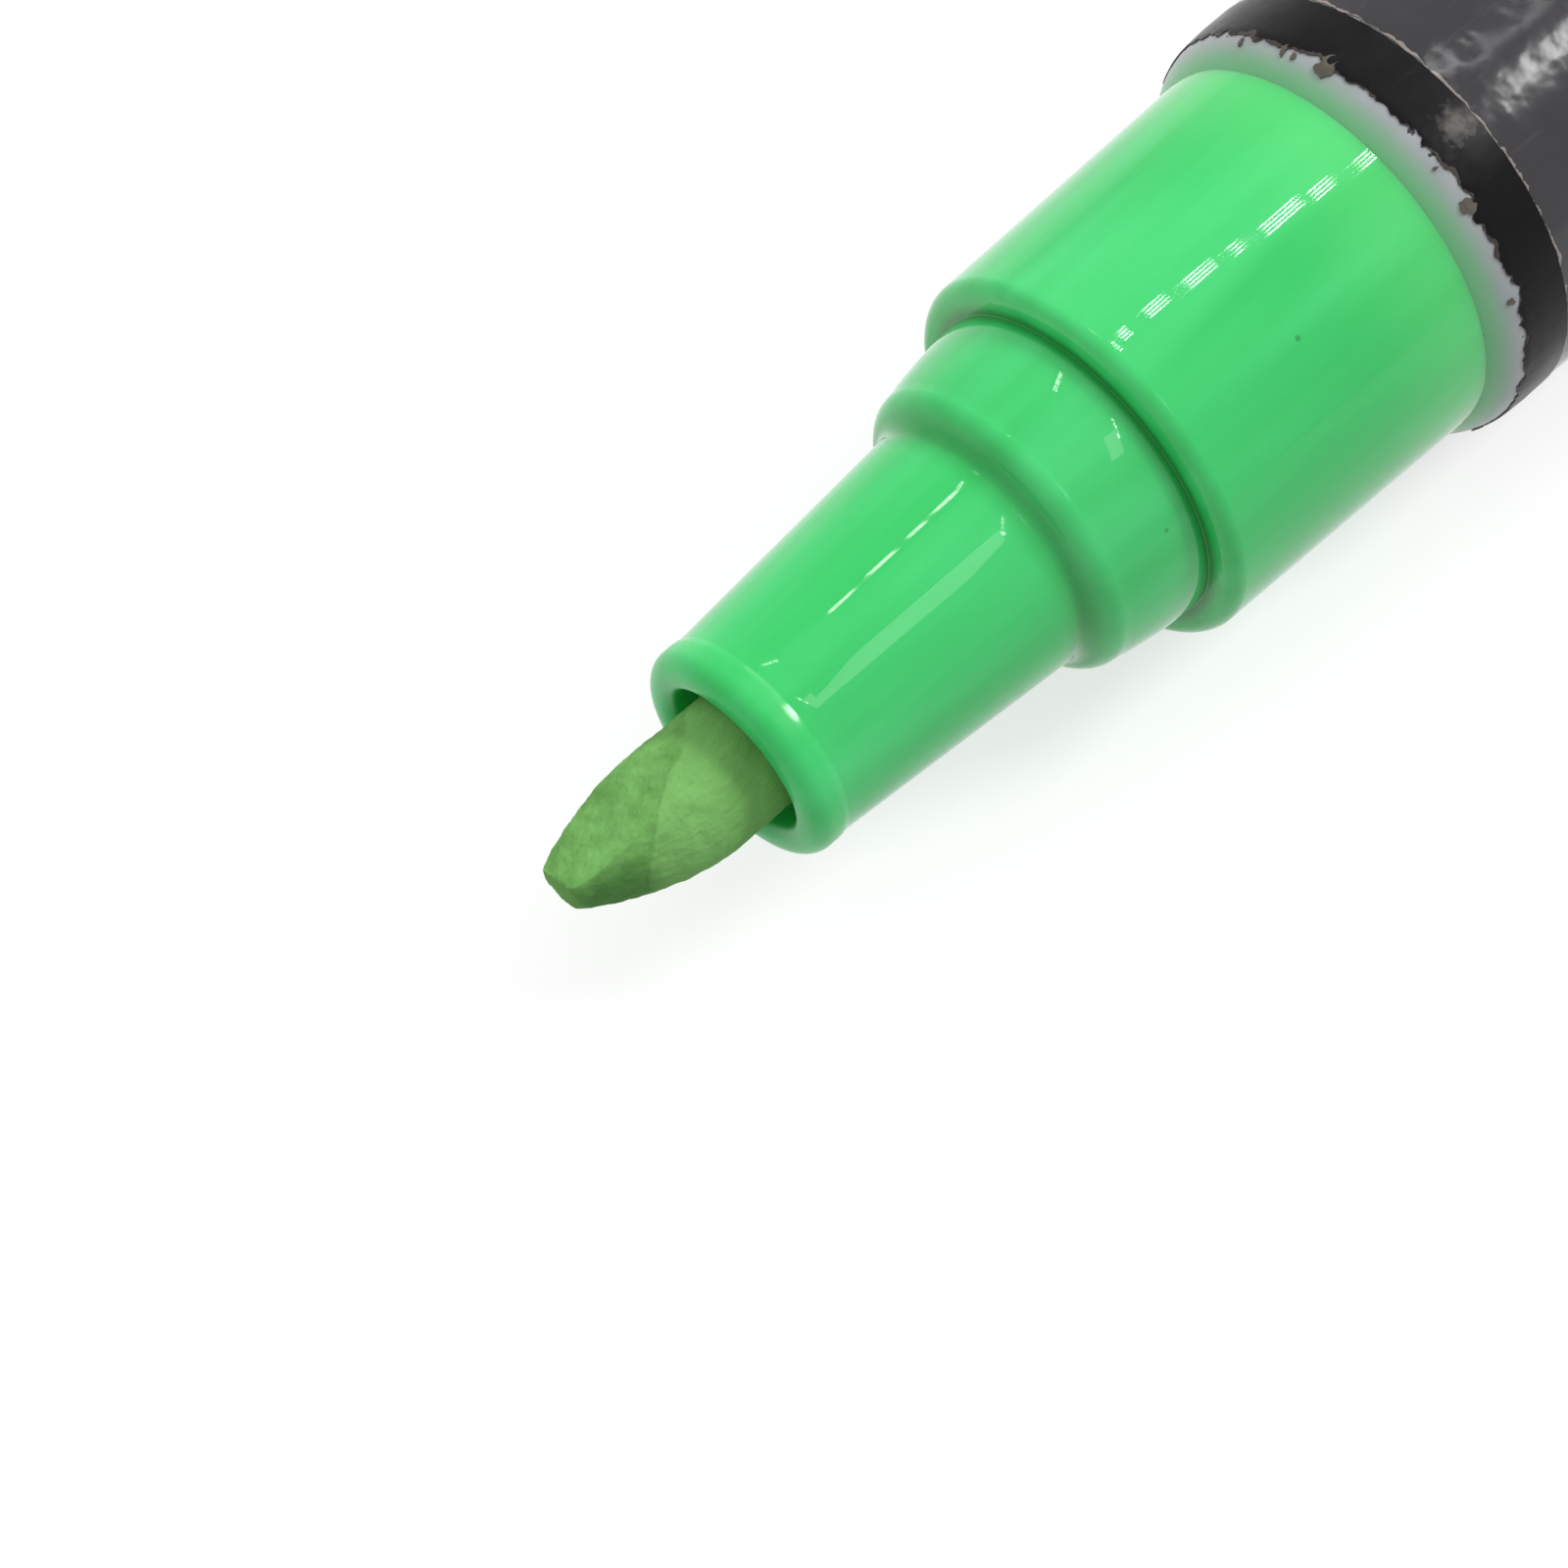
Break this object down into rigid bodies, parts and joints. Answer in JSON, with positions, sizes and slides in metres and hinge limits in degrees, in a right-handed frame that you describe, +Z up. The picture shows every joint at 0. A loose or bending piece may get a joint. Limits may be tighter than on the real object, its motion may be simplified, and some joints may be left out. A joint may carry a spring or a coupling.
{
  "type": "paint marker",
  "caption": "Fibre-tipped paint marker with stepped nose, film-wrapped barrel, sprung valve and mixing ball, its clip cap pushed onto the tail.",
  "frame": {"origin": "middle of the object's box on the surface that the pen lies on", "axes": "+X along the barrel from nib to tail, +Y to the side of the clip, +Z up"},
  "size_m": [0.1626, 0.0192, 0.0156],
  "materials": {
    "green_plastic": "glossy injection moulded polypropylene, slightly translucent",
    "nib_fibre": "bonded fibre, matt, soaked with green paint",
    "white_plastic": "satin moulded polypropylene",
    "dark_film": "printed black film with a worn front edge",
    "label_film": "glossy slate-grey film",
    "natural_plastic": "uncoloured polyethylene",
    "seal_rubber": "soft matt rubber",
    "spring_steel": "drawn stainless spring wire",
    "ball_steel": "polished steel"
  },
  "bodies": {
    "pen": {"nose_cone": "green_plastic", "valve_housing": "natural_plastic", "valve_seat": "seal_rubber", "valve_spring": "spring_steel", "valve_cover": "natural_plastic", "barrel": "white_plastic", "band_film": "dark_film", "label_film": "label_film", "tail_plug": "green_plastic"},
    "nib": {"nib": "nib_fibre"},
    "valve_stem": {"valve_stem": "white_plastic"},
    "mixing_ball": {"mixing_ball": "ball_steel"},
    "cap": {"cap_shell": "green_plastic", "cap_liner": "natural_plastic"},
    "clip": {"cap_clip": "green_plastic"}
  },
  "joints": [
    {"name": "nib_press", "type": "slide", "parent": "pen", "child": "nib", "axis": [1, 0, 0], "range_m": [0, 0.0016], "stiffness_N_per_m": 300, "springref_m": -0.003},
    {"name": "valve_lift", "type": "slide", "parent": "pen", "child": "valve_stem", "axis": [1, 0, 0], "range_m": [0, 0.0016], "deforming": ["valve_spring"]},
    {"name": "ball_roll", "type": "slide", "parent": "pen", "child": "mixing_ball", "axis": [1, 0, 0], "range_m": [-0.032, 0.034]},
    {"name": "cap_pull", "type": "slide", "parent": "pen", "child": "cap", "axis": [1, 0, 0], "range_m": [0, 0.025]},
    {"name": "clip_flex", "type": "hinge", "parent": "cap", "child": "clip", "pos_m": [0.07444, 0.00674, 0.0036], "axis": [0, -0.4398, -0.8981], "range_deg": [0, 5], "stiffness_Nm_per_rad": 1.6}
  ],
  "couplings": [
    {"joint": "valve_lift", "follows": "nib_press", "ratio": 1}
  ]
}
